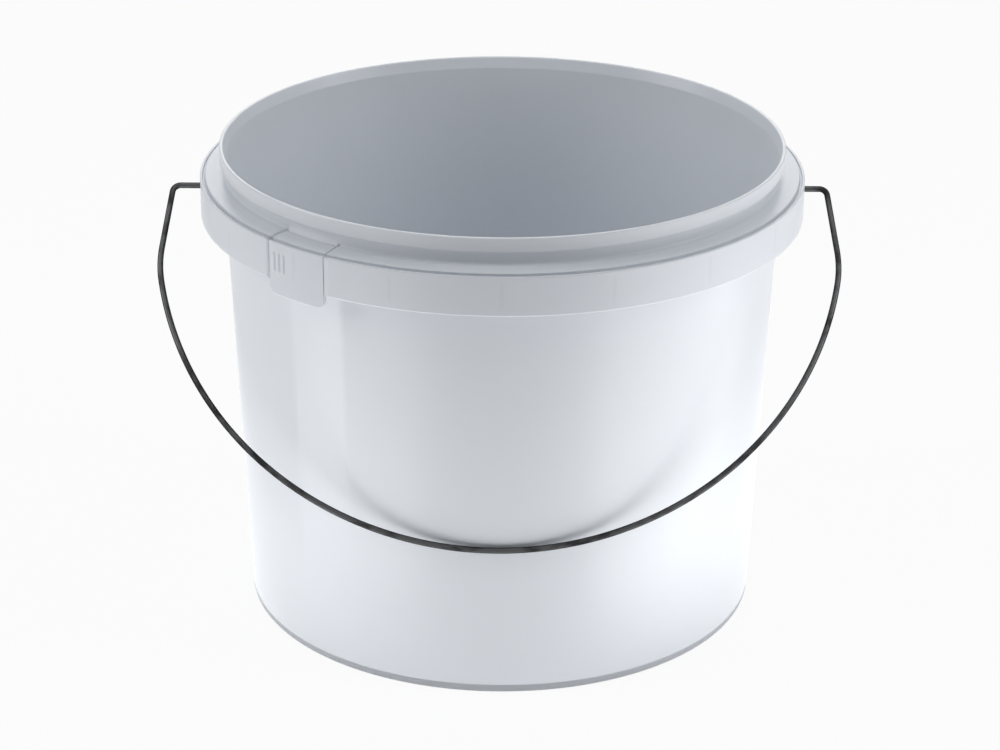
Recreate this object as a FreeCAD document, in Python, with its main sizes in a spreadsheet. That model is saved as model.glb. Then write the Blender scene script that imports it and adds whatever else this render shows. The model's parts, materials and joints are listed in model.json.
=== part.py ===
"""White moulded pail with a wire bail, for cut flowers: a FreeCAD document, in millimetres.

Frame: the origin is the centre of the standing plane, +Z is up and the bail's pivot axis runs along X.
The bail rests against the wall on the -Y side. Azimuths are counted from +X, counter-clockwise from above.

Sub-parts:
  bucket_body  one moulding: foot ring, base, drafted wall, lid lip, ledge, skirt, gussets and ears
  tear_tab     the piece of ledge and skirt that swings out on its thin web, so that a lid can be lifted
  wire_bail    round wire: an arc, two flared legs, stubs through the ears and hooks behind the skirt
"""

import FreeCAD, Part
import math
import os
import re

import Sketcher

V = FreeCAD.Vector
doc = FreeCAD.newDocument("pail")

# ---------------------------------------------------------------- driving dimensions, in mm and degrees
DIMENSIONS = {
    # overall
    "rim_height": 180.5,
    "skirt_radius": 112.5,
    # wall and base
    "wall_inset": 9.15,  # skirt's outside to the wall's outside, at the skirt's foot
    "wall_draft": 2.31,
    "wall_thickness": 1.6,
    "base_thickness": 1.9,
    "base_recess": 2.2,  # underside of the base above the standing plane
    "foot_width": 3.8,
    "foot_round": 1.6,
    "inner_round": 4.5,
    "gate_radius": 4.0,
    "gate_depth": 0.5,
    # lid lip
    "lip_inset": 7.35,  # skirt's outside to the lip's outside
    "lip_depth": 5.2,
    "neck_inset": 9.0,  # skirt's outside to the neck under the lip
    "crest_width": 1.3,
    "crest_round": 0.45,
    "mouth_depth": 4.4,
    # ledge between the wall and the skirt
    "ledge_drop": 9.8,  # rim to the ledge's top at the neck
    "ledge_fall": 0.8,
    "ledge_thickness": 1.3,
    "trough_width": 0.9,
    "trough_depth": 0.9,
    # skirt
    "skirt_drop": 11.3,  # rim to the skirt's top
    "skirt_depth": 14.5,
    "skirt_thickness": 1.5,
    "skirt_edge": 1.0,
    "skirt_round": 0.4,
    # gussets under the ledge
    "gusset_thickness": 0.9,
    "gusset_rise": 2.6,  # above the skirt's foot
    "gusset_pitch": 20.0,
    "gusset_first": 250.0,
    "gusset_count": 17,
    "bite": 0.5,  # how far a rib runs into what it is moulded to
    # ears for the bail
    "pivot_drop": 19.0,  # rim to the pivot axis
    "ear_radius": 4.5,
    "ear_depth": 1.5,
    "ear_clearance": 0.08,
    # tear tab
    "tab_azimuth": 230.25,
    "tab_sweep": 13.0,
    "tab_slit": 0.5,
    "tab_root": 0.15,  # torn edge that stays on the wall
    "tab_gap": 0.3,
    "tab_drop": 5.2,  # how far the tab reaches below the skirt
    "tab_round": 2.8,
    # wire bail
    "wire_radius": 1.1,
    "bail_spread": 14.5,  # skirt's outside to the arc's widest point
    "bail_arc_drop": 16.0,  # pivot axis to the arc's centre
    "bail_stub": 7.0,  # skirt's outside to the bend
    "corner_bend": 3.0,
    "knee_bend": 45.0,
    "leg_flare": 7.1,
    "hook_inset": 5.9,  # skirt's outside to the hook's centre line
    "hook_bend": 2.2,
    "hook_reach": 5.2,
    "end_chamfer": 0.3,
    "rest_gap": 0.3,  # resting bail to the wall
    "side_shift": 0.9,  # how far the resting bail has slid to -X in its end play
}

sheet = doc.addObject("Spreadsheet::Sheet", "Dims")
for row, (alias, value) in enumerate(DIMENSIONS.items(), start=1):
    sheet.set(f"A{row}", alias)
    sheet.set(f"B{row}", str(value))
    sheet.setAlias(f"B{row}", alias)
doc.recompute()

# ---------------------------------------------------------------- heights and radii that pieces share
SLOPE = "tan(wall_draft * 1deg)"
LIP_FOOT = "(rim_height - lip_depth)"
LIP_OUT = "(skirt_radius - lip_inset)"
NECK = "(skirt_radius - neck_inset)"
SKIRT_TOP = "(rim_height - skirt_drop)"
SKIRT_FOOT = "(rim_height - skirt_drop - skirt_depth)"
SKIRT_IN = "(skirt_radius - skirt_thickness)"
TROUGH_OUT = "(skirt_radius - skirt_edge)"
TROUGH_IN = "(skirt_radius - skirt_edge - trough_width)"
TROUGH_FLOOR = "(rim_height - skirt_drop - trough_depth)"
LEDGE_TOP = "(rim_height - ledge_drop)"
LEDGE_UNDER_IN = "(rim_height - ledge_drop - ledge_thickness)"
LEDGE_UNDER_OUT = "(rim_height - skirt_drop - trough_depth - ledge_thickness)"
BASE_TOP = "(base_recess + base_thickness)"
PIVOT = "(rim_height - pivot_drop)"
GUSSET_FOOT = "(rim_height - skirt_drop - skirt_depth + gusset_rise)"
TAB_FOOT = "(rim_height - skirt_drop - skirt_depth - tab_drop)"


def wall_out(height):
    """The wall's outer radius at a height."""
    return f"(skirt_radius - wall_inset + ({height} - {SKIRT_FOOT}) * {SLOPE})"


def wall_in(height):
    """The wall's inner radius at a height."""
    return f"({wall_out(height)} - wall_thickness)"


TAB_ROOT_OUT = f"({wall_out(LEDGE_TOP)} + tab_root)"
BAIL_RADIUS = "(skirt_radius + bail_spread)"
BAIL_DROP = f"({BAIL_RADIUS} + bail_arc_drop)"


# ---------------------------------------------------------------- expressions, sketches and features
def bound(text):
    """An expression with each alias in it written as a reference to the sheet."""
    def reference(word):
        return f"Dims.{word.group()}" if word.group() in DIMENSIONS else word.group()
    return re.sub(r"[a-z_]+", reference, text)


def number(text):
    """An expression's value."""
    value = sheet.evalExpression(bound(text))
    return float(getattr(value, "Value", value))


def new_body(name):
    """An empty body whose label names its file."""
    body = doc.addObject("PartDesign::Body", name)
    body.Label = name
    return body


def plane(body, role):
    """One of a body's own origin planes."""
    return next(item for item in body.Origin.OriginFeatures if item.Role == role)


def new_sketch(body, name, role, lift=None, turn=None):
    """A sketch on an origin plane, lifted off it or turned about the upright axis by an expression."""
    sketch = body.newObject("Sketcher::SketchObject", name)
    sketch.AttachmentSupport = [(plane(body, role), "")]
    sketch.MapMode = "FlatFace"
    if turn:
        sketch.AttachmentOffset = FreeCAD.Placement(V(0, 0, 0), FreeCAD.Rotation(V(0, 1, 0), number(turn)))
        sketch.setExpression(".AttachmentOffset.Rotation.Angle", bound(f"({turn}) * 1deg"))
    if lift:
        sketch.setExpression(".AttachmentOffset.Base.z", bound(lift))
    return sketch


def pin(sketch, kind, parts, text):
    """A dimensional constraint that follows an expression."""
    value = math.radians(number(text)) if kind == "Angle" else number(text)
    index = sketch.addConstraint(Sketcher.Constraint(kind, *parts, value))
    sketch.setExpression(f"Constraints[{index}]", bound(text))


def pin_point(sketch, edge, end, across, up):
    """A point of an edge held at its two distances from the sketch's origin."""
    pin(sketch, "DistanceX", (-1, 1, edge, end), across)
    pin(sketch, "DistanceY", (-1, 1, edge, end), up)


def polygon(sketch, corners):
    """A closed outline of straight edges, each corner held by two expressions."""
    points = [V(number(across), number(up), 0) for across, up in corners]
    count = len(points)
    for index in range(count):
        sketch.addGeometry(Part.LineSegment(points[index], points[(index + 1) % count]), False)
    for index, (across, up) in enumerate(corners):
        sketch.addConstraint(Sketcher.Constraint("Coincident", (index - 1) % count, 2, index, 1))
        pin_point(sketch, index, 1, across, up)


def circle(sketch, up, radius):
    """A circle on the sketch's upright axis."""
    sketch.addGeometry(Part.Circle(V(0, number(up), 0), V(0, 0, 1), number(radius)), False)
    sketch.addConstraint(Sketcher.Constraint("PointOnObject", 0, 3, -2))
    pin(sketch, "DistanceY", (-1, 1, 0, 3), up)
    pin(sketch, "Radius", (0,), radius)


def add_feature(body, kind, name, profile, **settings):
    """A feature on a profile, with numbers set and texts bound as expressions."""
    feature = body.newObject(f"PartDesign::{kind}", name)
    feature.Profile = profile
    for key, value in settings.items():
        if isinstance(value, str):
            feature.setExpression(key, bound(value))
        else:
            setattr(feature, key, value)
    profile.Visibility = False
    doc.recompute()
    return feature


def revolve(body, kind, name, profile, angle, both_ways=False):
    """A turned feature about the upright axis."""
    return add_feature(body, kind, name, profile, ReferenceAxis=(profile, ["V_Axis"]), Angle=angle,
                       Midplane=both_ways)


def mirror(body, name, original):
    """The feature again on the other side of the YZ plane."""
    feature = body.newObject("PartDesign::Mirrored", name)
    feature.Originals = [original]
    feature.MirrorPlane = (plane(body, "YZ_Plane"), [""])
    body.Tip = feature
    doc.recompute()
    return feature


def ring_edges(shape, radius, height):
    """Names of the full circles about the upright axis at a radius and a height."""
    names = []
    for index, edge in enumerate(shape.Edges, start=1):
        if not isinstance(edge.Curve, Part.Circle):
            continue
        centre = edge.Curve.Center
        near = abs(edge.Curve.Radius - number(radius)) < 0.01 and abs(centre.z - number(height)) < 0.01
        if near and math.hypot(centre.x, centre.y) < 0.01:
            names.append(f"Edge{index}")
    return names


def dress(body, kind, name, base, edges, size):
    """A fillet or chamfer on named edges of a feature."""
    assert edges, name
    feature = body.newObject(f"PartDesign::{kind}", name)
    feature.Base = (base, edges)
    feature.setExpression("Radius" if kind == "Fillet" else "Size", bound(size))
    doc.recompute()
    return feature


# ---------------------------------------------------------------- bucket body
def make_shell(body):
    """Foot ring, base, wall, lip, ledge and skirt: one turned profile with its edges rounded."""
    foot_in = f"({wall_out('0')} - foot_width)"
    sketch = new_sketch(body, "ShellProfile", "XZ_Plane")
    polygon(sketch, [
        ("0", "base_recess + gate_depth"),
        ("gate_radius", "base_recess + gate_depth"),
        ("gate_radius", "base_recess"),
        (foot_in, "base_recess"),
        (foot_in, "0"),
        (wall_out("0"), "0"),
        (wall_out(LEDGE_UNDER_IN), LEDGE_UNDER_IN),
        (SKIRT_IN, LEDGE_UNDER_OUT),
        (SKIRT_IN, SKIRT_FOOT),
        ("skirt_radius", SKIRT_FOOT),
        ("skirt_radius", SKIRT_TOP),
        (TROUGH_OUT, SKIRT_TOP),
        (TROUGH_OUT, TROUGH_FLOOR),
        (TROUGH_IN, TROUGH_FLOOR),
        (TROUGH_IN, f"{LEDGE_TOP} - ledge_fall"),
        (NECK, LEDGE_TOP),
        (NECK, LIP_FOOT),
        (LIP_OUT, LIP_FOOT),
        (LIP_OUT, "rim_height"),
        (f"{LIP_OUT} - crest_width", "rim_height"),
        (wall_in("(rim_height - mouth_depth)"), "rim_height - mouth_depth"),
        (wall_in(BASE_TOP), BASE_TOP),
        ("0", BASE_TOP),
    ])
    shell = revolve(body, "Revolution", "Shell", sketch, 360.0)
    rounds = [
        ("FootRound", "foot_round", [(wall_out("0"), "0")]),
        ("CornerRound", "inner_round", [(wall_in(BASE_TOP), BASE_TOP)]),
        ("CrestRound", "crest_round", [(LIP_OUT, "rim_height"), (f"{LIP_OUT} - crest_width", "rim_height")]),
        ("SkirtRound", "skirt_round", [("skirt_radius", SKIRT_FOOT), ("skirt_radius", SKIRT_TOP)]),
    ]
    for name, size, rings in rounds:
        edges = [edge for radius, height in rings for edge in ring_edges(shell.Shape, radius, height)]
        shell = dress(body, "Fillet", name, shell, edges, size)


def make_gussets(body):
    """Thin upright ribs that tie the wall, the ledge and the skirt together from below."""
    inner = f"{wall_out(GUSSET_FOOT)} - bite"
    sketch = new_sketch(body, "GussetProfile", "XZ_Plane", turn="gusset_first")
    polygon(sketch, [
        (inner, GUSSET_FOOT),
        (f"{SKIRT_IN} + bite", GUSSET_FOOT),
        (f"{SKIRT_IN} + bite", f"{LEDGE_UNDER_OUT} + bite"),
        (inner, f"{LEDGE_UNDER_IN} + bite"),
    ])
    gusset = add_feature(body, "Pad", "Gusset", sketch, Length="gusset_thickness", Midplane=True)
    ring = body.newObject("PartDesign::PolarPattern", "Gussets")
    ring.Originals = [gusset]
    ring.Axis = (sketch, ["V_Axis"])
    ring.setExpression("Angle", bound("gusset_pitch * (gusset_count - 1) * 1deg"))
    ring.setExpression("Occurrences", bound("gusset_count"))
    body.Tip = ring
    doc.recompute()


def make_ears(body):
    """A round boss behind the skirt at each end of the pivot axis, bored for the wire."""
    sketch = new_sketch(body, "EarCircle", "YZ_Plane", lift=f"{SKIRT_IN} - ear_depth")
    circle(sketch, PIVOT, "ear_radius")
    ear = add_feature(body, "Pad", "Ear", sketch, Length="ear_depth + skirt_thickness / 2")
    mirror(body, "EarOtherSide", ear)
    before = body.Shape.Volume
    sketch = new_sketch(body, "BoreCircle", "YZ_Plane", lift=f"{SKIRT_IN} - ear_depth - bite")
    circle(sketch, PIVOT, "wire_radius + ear_clearance")
    bore = add_feature(body, "Pocket", "Bore", sketch, Reversed=True,
                       Length="ear_depth + skirt_thickness + 2 * bite")
    mirror(body, "BoreOtherSide", bore)
    assert body.Shape.Volume < before


def make_tab_window(body):
    """The sector of ledge and skirt that the tab fills, cut back to a thin torn edge on the wall."""
    below = f"({TAB_FOOT} - bite)"
    above = f"({LEDGE_TOP} + bite)"
    before = body.Shape.Volume
    sketch = new_sketch(body, "WindowProfile", "XZ_Plane", turn="tab_azimuth")
    polygon(sketch, [
        (f"{wall_out(below)} + tab_root", below),
        ("skirt_radius + bite", below),
        ("skirt_radius + bite", above),
        (f"{wall_out(above)} + tab_root", above),
    ])
    revolve(body, "Groove", "Window", sketch, "tab_sweep * 1deg + 2 * atan(tab_slit / skirt_radius)", True)
    assert body.Shape.Volume < before


def make_bucket():
    """The pail's one moulding."""
    body = new_body("bucket_body")
    make_shell(body)
    make_gussets(body)
    make_ears(body)
    make_tab_window(body)
    return body


# ---------------------------------------------------------------- tear tab
def make_tab():
    """The same ledge and skirt section as the bucket's, over a short sweep and with a longer skirt."""
    body = new_body("tear_tab")
    root = f"({TAB_ROOT_OUT} + tab_gap)"
    sketch = new_sketch(body, "TabProfile", "XZ_Plane", turn="tab_azimuth")
    polygon(sketch, [
        (root, LEDGE_UNDER_IN),
        (SKIRT_IN, LEDGE_UNDER_OUT),
        (SKIRT_IN, TAB_FOOT),
        ("skirt_radius", TAB_FOOT),
        ("skirt_radius", SKIRT_TOP),
        (TROUGH_OUT, SKIRT_TOP),
        (TROUGH_OUT, TROUGH_FLOOR),
        (TROUGH_IN, TROUGH_FLOOR),
        (TROUGH_IN, f"{LEDGE_TOP} - ledge_fall"),
        (root, LEDGE_TOP),
    ])
    tab = revolve(body, "Revolution", "Tab", sketch, "tab_sweep * 1deg", True)
    foot = number(TAB_FOOT)
    corners = []
    for index, edge in enumerate(tab.Shape.Edges, start=1):
        at_foot = all(abs(vertex.Point.z - foot) < 0.01 for vertex in edge.Vertexes)
        if at_foot and isinstance(edge.Curve, Part.Line):
            corners.append(f"Edge{index}")
    dress(body, "Fillet", "TabRound", tab, corners, "tab_round")
    return body


# ---------------------------------------------------------------- wire bail
def bail_route():
    """Half of the wire's centre line as far as a first guess: corners of the tangent chain, hanging down."""
    flare = math.radians(number("leg_flare"))
    along, inward = V(math.sin(flare), -math.cos(flare), 0), V(-math.cos(flare), -math.sin(flare), 0)
    centre = V(0, -number("bail_arc_drop"), 0)
    radius, knee, corner = number(BAIL_RADIUS), number("knee_bend"), number("corner_bend")
    stub_end = V(number("skirt_radius + bail_stub"), 0, 0)
    corner_centre = stub_end + V(0, -corner, 0)
    leg_top = corner_centre - inward * corner
    reach = leg_top + inward * knee - centre
    lean = reach.dot(along)
    run = -lean + math.sqrt(lean ** 2 - reach.dot(reach) + (radius - knee) ** 2)
    leg_end = leg_top + along * run
    knee_centre = leg_end + inward * knee
    arc_end = centre + (knee_centre - centre) * (radius / (radius - knee))
    return centre, arc_end, knee_centre, leg_end, leg_top, corner_centre, stub_end


def arc(centre, radius, start, finish):
    """The counter-clockwise arc about a centre from one point to another."""
    turn = [math.atan2(point.y - centre.y, point.x - centre.x) for point in (start, finish)]
    return Part.ArcOfCircle(Part.Circle(centre, V(0, 0, 1), radius), turn[0], turn[1])


def make_bail():
    """Half of the wire swept from the middle of its arc to its hooked end, and its mirror image."""
    body = new_body("wire_bail")
    centre, arc_end, knee_centre, leg_end, leg_top, corner_centre, stub_end = bail_route()
    drop, hook, bend = number(BAIL_DROP), number("skirt_radius - hook_inset"), number("hook_bend")
    hook_centre = V(hook + bend, bend, 0)
    route = body.newObject("Sketcher::SketchObject", "WireRoute")
    route.AttachmentSupport = [(plane(body, "XZ_Plane"), "")]
    route.MapMode = "FlatFace"
    pieces = [
        arc(centre, number(BAIL_RADIUS), V(0, -drop, 0), arc_end),
        arc(knee_centre, number("knee_bend"), arc_end, leg_end),
        Part.LineSegment(leg_end, leg_top),
        arc(corner_centre, number("corner_bend"), leg_top, stub_end),
        Part.LineSegment(stub_end, V(hook + bend, 0, 0)),
        Part.ArcOfCircle(Part.Circle(hook_centre, V(0, 0, 1), bend), math.pi, 1.5 * math.pi),
        Part.LineSegment(V(hook, bend, 0), V(hook, number("hook_reach"), 0)),
    ]
    for piece in pieces:
        route.addGeometry(piece, False)
    joins = [(0, 2, 1, 1), (1, 2, 2, 1), (2, 2, 3, 1), (3, 2, 4, 1), (4, 2, 5, 2), (5, 1, 6, 1)]
    for join in joins:
        route.addConstraint(Sketcher.Constraint("Tangent", *join))
    for index, size in ((0, BAIL_RADIUS), (1, "knee_bend"), (3, "corner_bend"), (5, "hook_bend")):
        pin(route, "Radius", (index,), size)
    route.addConstraint(Sketcher.Constraint("PointOnObject", 0, 3, -2))
    route.addConstraint(Sketcher.Constraint("PointOnObject", 0, 1, -2))
    route.addConstraint(Sketcher.Constraint("PointOnObject", 4, 1, -1))
    route.addConstraint(Sketcher.Constraint("Horizontal", 4))
    route.addConstraint(Sketcher.Constraint("Vertical", 6))
    pin(route, "DistanceY", (0, 3, -1, 1), "bail_arc_drop")
    pin(route, "DistanceX", (-1, 1, 4, 1), "skirt_radius + bail_stub")
    pin(route, "DistanceX", (-1, 1, 6, 2), "skirt_radius - hook_inset")
    pin(route, "DistanceY", (-1, 1, 6, 2), "hook_reach")
    pin(route, "Angle", (2,), "90deg + leg_flare * 1deg")
    section = new_sketch(body, "WireSection", "YZ_Plane")
    circle(section, f"-{BAIL_DROP}", "wire_radius")
    doc.recompute()
    wire = body.newObject("PartDesign::AdditivePipe", "Wire")
    wire.Profile = section
    wire.Spine = (route, [f"Edge{index + 1}" for index in range(len(pieces))])
    doc.recompute()
    both = mirror(body, "WireOtherSide", wire)
    reach = number("hook_reach")
    ends = []
    for index, edge in enumerate(both.Shape.Edges, start=1):
        flat = all(abs(vertex.Point.z - reach) < 0.01 for vertex in edge.Vertexes)
        if flat and isinstance(edge.Curve, Part.Circle):
            ends.append(f"Edge{index}")
    dress(body, "Chamfer", "WireEnds", both, ends, "end_chamfer")
    lean = (f"asin(({wall_out(PIVOT)} * cos(wall_draft * 1deg) + wire_radius + rest_gap) / {BAIL_DROP})"
            " - wall_draft * 1deg")
    pivot = V(-number("side_shift"), 0, number(PIVOT))
    body.Placement = FreeCAD.Placement(pivot, FreeCAD.Rotation(V(-1, 0, 0), number(lean)))
    body.setExpression(".Placement.Base.x", bound("-side_shift"))
    body.setExpression(".Placement.Base.z", bound(PIVOT))
    body.setExpression(".Placement.Rotation.Angle", bound(lean))
    return body


# ---------------------------------------------------------------- check and write
sub_parts = [make_bucket(), make_tab(), make_bail()]
doc.recompute()

failed = [item.Label for item in doc.Objects if {"Invalid", "Error"} & set(item.State)]
if failed:
    raise RuntimeError(f"objects that failed: {failed}")
for sub_part in sub_parts:
    shape = sub_part.Shape
    if shape.isNull() or not shape.isValid() or len(shape.Solids) != 1:
        raise RuntimeError(f"{sub_part.Label} isn't one valid solid")

os.makedirs("parts", exist_ok=True)
for sub_part in sub_parts:
    sub_part.Shape.exportStep(f"parts/{sub_part.Label}.step")
    box = sub_part.Shape.BoundBox
    print(f"{sub_part.Label}: {sub_part.Shape.Volume:.0f} mm3, x {box.XMin:.2f} to {box.XMax:.2f},"
          f" y {box.YMin:.2f} to {box.YMax:.2f}, z {box.ZMin:.2f} to {box.ZMax:.2f}")
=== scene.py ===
"""Florist's pail: moulded bucket, tear tab and wire bail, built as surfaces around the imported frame.

Everything is in metres. The origin is the centre of the standing plane, +Z is up, the bail's pivot axis
runs along X and the bail rests against the wall on the -Y side.
"""

import json
import math

import bmesh
import bpy
import numpy as np
from bpy.props import FloatProperty, FloatVectorProperty, IntProperty, PointerProperty
from mathutils import Matrix, Quaternion, Vector


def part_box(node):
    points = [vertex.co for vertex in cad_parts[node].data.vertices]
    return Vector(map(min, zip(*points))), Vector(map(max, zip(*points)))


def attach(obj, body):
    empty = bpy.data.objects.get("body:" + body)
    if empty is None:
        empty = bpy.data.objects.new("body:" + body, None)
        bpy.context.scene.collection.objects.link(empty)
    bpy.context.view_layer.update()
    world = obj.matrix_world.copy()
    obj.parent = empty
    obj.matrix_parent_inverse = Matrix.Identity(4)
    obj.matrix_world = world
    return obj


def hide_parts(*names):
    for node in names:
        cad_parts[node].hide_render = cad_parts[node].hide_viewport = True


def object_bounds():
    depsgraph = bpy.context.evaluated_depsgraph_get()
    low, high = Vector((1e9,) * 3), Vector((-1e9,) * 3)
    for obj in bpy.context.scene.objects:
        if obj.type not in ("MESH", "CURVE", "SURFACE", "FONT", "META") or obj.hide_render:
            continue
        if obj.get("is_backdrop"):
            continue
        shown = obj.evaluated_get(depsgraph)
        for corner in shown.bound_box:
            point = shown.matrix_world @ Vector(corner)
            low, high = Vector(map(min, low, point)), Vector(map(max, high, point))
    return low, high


bl_info = {
    "name": "Florist's pail",
    "version": (1, 0, 0),
    "blender": (4, 5, 0),
    "location": "3D View > Sidebar > Pail",
    "description": "Moulded bucket with a tear tab and a wire bail",
    "category": "Add Mesh",
}

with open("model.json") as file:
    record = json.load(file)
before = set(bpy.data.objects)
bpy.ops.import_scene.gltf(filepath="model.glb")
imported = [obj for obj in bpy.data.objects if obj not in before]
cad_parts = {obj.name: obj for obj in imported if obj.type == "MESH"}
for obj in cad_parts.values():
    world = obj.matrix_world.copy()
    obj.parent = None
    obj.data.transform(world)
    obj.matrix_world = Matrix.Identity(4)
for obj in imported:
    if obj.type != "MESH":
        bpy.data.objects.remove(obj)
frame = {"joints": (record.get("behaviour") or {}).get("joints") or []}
CAD_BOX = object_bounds()
BUCKET_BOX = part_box("bucket_body")
TAB_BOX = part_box("tear_tab")
JOINTS = {joint["name"]: joint for joint in frame["joints"]}
MM = 0.001

ARC_STEPS = 5           # points on each rounded corner
HOLD = 0.35             # flat kept beside a rounding, as a share of its radius
ROOM = 0.46             # most of a side's length that a rounding may take
HOLD_ROOM = 1.08        # most of that room that the rounding and its flat may take
BITE = 0.5 * MM         # how far ribs and ears run into the wall and skirt
WALL_STEPS = 348        # sections round the bucket
WINDOW_STEPS = 17       # sections behind the tab
EAR_STEP, EAR_SPAN = 0.1, 1.6       # degrees: finer sections beside the bail's holes
SKIRT_CUTS = 56         # rows on the skirt's face
TAB_CUTS, TAB_STEPS = 70, 131       # rows and sections of the tab
DIMPLE_DEPTH = 0.9 * MM
WIRE_SIDES = 21
END_STEPS = 6           # rings on the rounding of the wire's ends


# ---------------------------------------------------------------- properties
def length(name, default, description):
    """A length in metres that a user may change."""
    return FloatProperty(name=name, default=default, description=description, unit="LENGTH", precision=5)


def turn(name, degrees, description):
    """An angle that a user may change."""
    return FloatProperty(name=name, default=math.radians(degrees), description=description,
                         subtype="ANGLE", unit="ROTATION")


def tint(name, default, description):
    """A colour that a user may change."""
    return FloatVectorProperty(name=name, default=default, description=description, subtype="COLOR",
                               size=3, min=0.0, max=1.0)


class PailSizes(bpy.types.PropertyGroup):
    """Sizes of the moulding that the bucket and its tab share."""
    rim_height: length("Rim height", BUCKET_BOX[1].z, "Standing plane to the crest of the lip")
    skirt_radius: length("Skirt radius", BUCKET_BOX[1].x, "Axis to the outside of the skirt")
    wall_inset: length("Wall inset", 9.15 * MM, "Skirt's outside to the wall's outside, at the skirt's foot")
    wall_draft: turn("Wall draft", 2.31, "Lean of the wall from upright")
    wall_thickness: length("Wall thickness", 1.6 * MM, "Thickness of the wall")
    base_thickness: length("Base thickness", 1.9 * MM, "Thickness of the base")
    base_recess: length("Base recess", 2.2 * MM, "Underside of the base above the standing plane")
    foot_width: length("Foot width", 3.8 * MM, "Width of the foot ring")
    foot_round: length("Foot round", 1.9 * MM, "Radius between the wall and the foot")
    inner_round: length("Inner round", 4.5 * MM, "Radius between the wall and the floor inside")
    gate_radius: length("Gate radius", 4.0 * MM, "Radius of the gate's dimple under the base")
    gate_depth: length("Gate depth", 0.5 * MM, "Depth of the gate's dimple")
    lip_inset: length("Lip inset", 7.35 * MM, "Skirt's outside to the lip's outside")
    lip_depth: length("Lip depth", 5.2 * MM, "Height of the lip's outer face")
    neck_inset: length("Neck inset", 9.0 * MM, "Skirt's outside to the neck under the lip")
    crest_width: length("Crest width", 1.3 * MM, "Width of the lip's crest")
    mouth_depth: length("Mouth depth", 4.4 * MM, "Height of the lead-in inside the lip")
    ledge_drop: length("Ledge drop", 9.8 * MM, "Rim to the ledge's top at the neck")
    ledge_fall: length("Ledge fall", 0.8 * MM, "How far the ledge falls outwards")
    ledge_thickness: length("Ledge thickness", 1.3 * MM, "Thickness of the ledge")
    trough_width: length("Trough width", 0.9 * MM, "Width of the fine trough inside the skirt's edge")
    trough_depth: length("Trough depth", 0.9 * MM, "Depth of that trough")
    skirt_drop: length("Skirt drop", 11.3 * MM, "Rim to the skirt's top")
    skirt_depth: length("Skirt depth", 14.5 * MM, "Height of the skirt")
    skirt_thickness: length("Skirt thickness", 1.5 * MM, "Thickness of the skirt")
    skirt_edge: length("Skirt edge", 1.0 * MM, "Width of the skirt's raised top edge")
    gusset_thickness: length("Gusset thickness", 0.9 * MM, "Thickness of the ribs under the ledge")
    gusset_rise: length("Gusset rise", 2.6 * MM, "Lower end of the ribs above the skirt's foot")
    gusset_pitch: turn("Gusset pitch", 20.0, "Angle from one rib to the next")
    gusset_first: turn("First gusset", 250.0, "Azimuth of the first rib")
    gusset_count: IntProperty(name="Gussets", default=17, description="Number of ribs under the ledge")
    pivot_height: length("Pivot height", JOINTS["bail_pivot"]["pos_m"][2], "Height of the bail's axis")
    ear_radius: length("Ear radius", 4.5 * MM, "Radius of the bosses that the wire runs in")
    ear_depth: length("Ear depth", 1.5 * MM, "How far the bosses stand in from the skirt")


class TabSizes(bpy.types.PropertyGroup):
    """Sizes of the tear tab."""
    azimuth: turn("Azimuth", 230.25, "Middle of the tab")
    sweep: turn("Sweep", 13.0, "Angle that the tab spans")
    slit: length("Slit", 0.5 * MM, "Gap at each side of the tab")
    root: length("Root", 0.15 * MM, "Torn edge that stays on the wall")
    gap: length("Gap", 0.3 * MM, "Torn edge to the tab")
    foot: length("Foot height", TAB_BOX[0].z, "Height of the tab's lower end")
    corner: length("Corner round", 2.8 * MM, "Radius of the tab's lower corners")
    ribs: IntProperty(name="Grip ribs", default=3, description="Number of upright grip ribs")
    rib_height: length("Rib height", 0.55 * MM, "How far the ribs stand out")
    rib_width: length("Rib width", 1.1 * MM, "Width of a rib")
    rib_pitch: length("Rib pitch", 2.4 * MM, "From one rib to the next")
    rib_shift: turn("Rib shift", -4.0, "Middle of the ribs from the middle of the tab")


class BailSizes(bpy.types.PropertyGroup):
    """Sizes of the wire bail."""
    wire_radius: length("Wire radius", 1.1 * MM, "Radius of the wire")
    spread: length("Spread", 14.5 * MM, "Skirt's outside to the arc's widest point")
    arc_drop: length("Arc drop", 16.0 * MM, "Pivot axis to the arc's centre")
    stub: length("Stub", 7.0 * MM, "Skirt's outside to the first bend")
    corner_bend: length("Corner bend", 3.0 * MM, "Radius of the bend beside the skirt")
    knee_bend: length("Knee bend", 45.0 * MM, "Radius of the bend from leg to arc")
    leg_flare: turn("Leg flare", 7.1, "Outward lean of the legs")
    hook_inset: length("Hook inset", 5.9 * MM, "Skirt's outside to the hook's centre line")
    hook_bend: length("Hook bend", 2.2 * MM, "Radius of the hook's bend")
    hook_reach: length("Hook reach", 5.2 * MM, "Pivot axis to the end of the hook")
    end_round: length("End round", 0.35 * MM, "Rounding of the cut ends")
    rest_gap: length("Rest gap", 0.3 * MM, "Resting bail to the wall")
    side_shift: length("Side shift", 0.9 * MM, "How far the resting bail has slid to -X in its end play")


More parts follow.
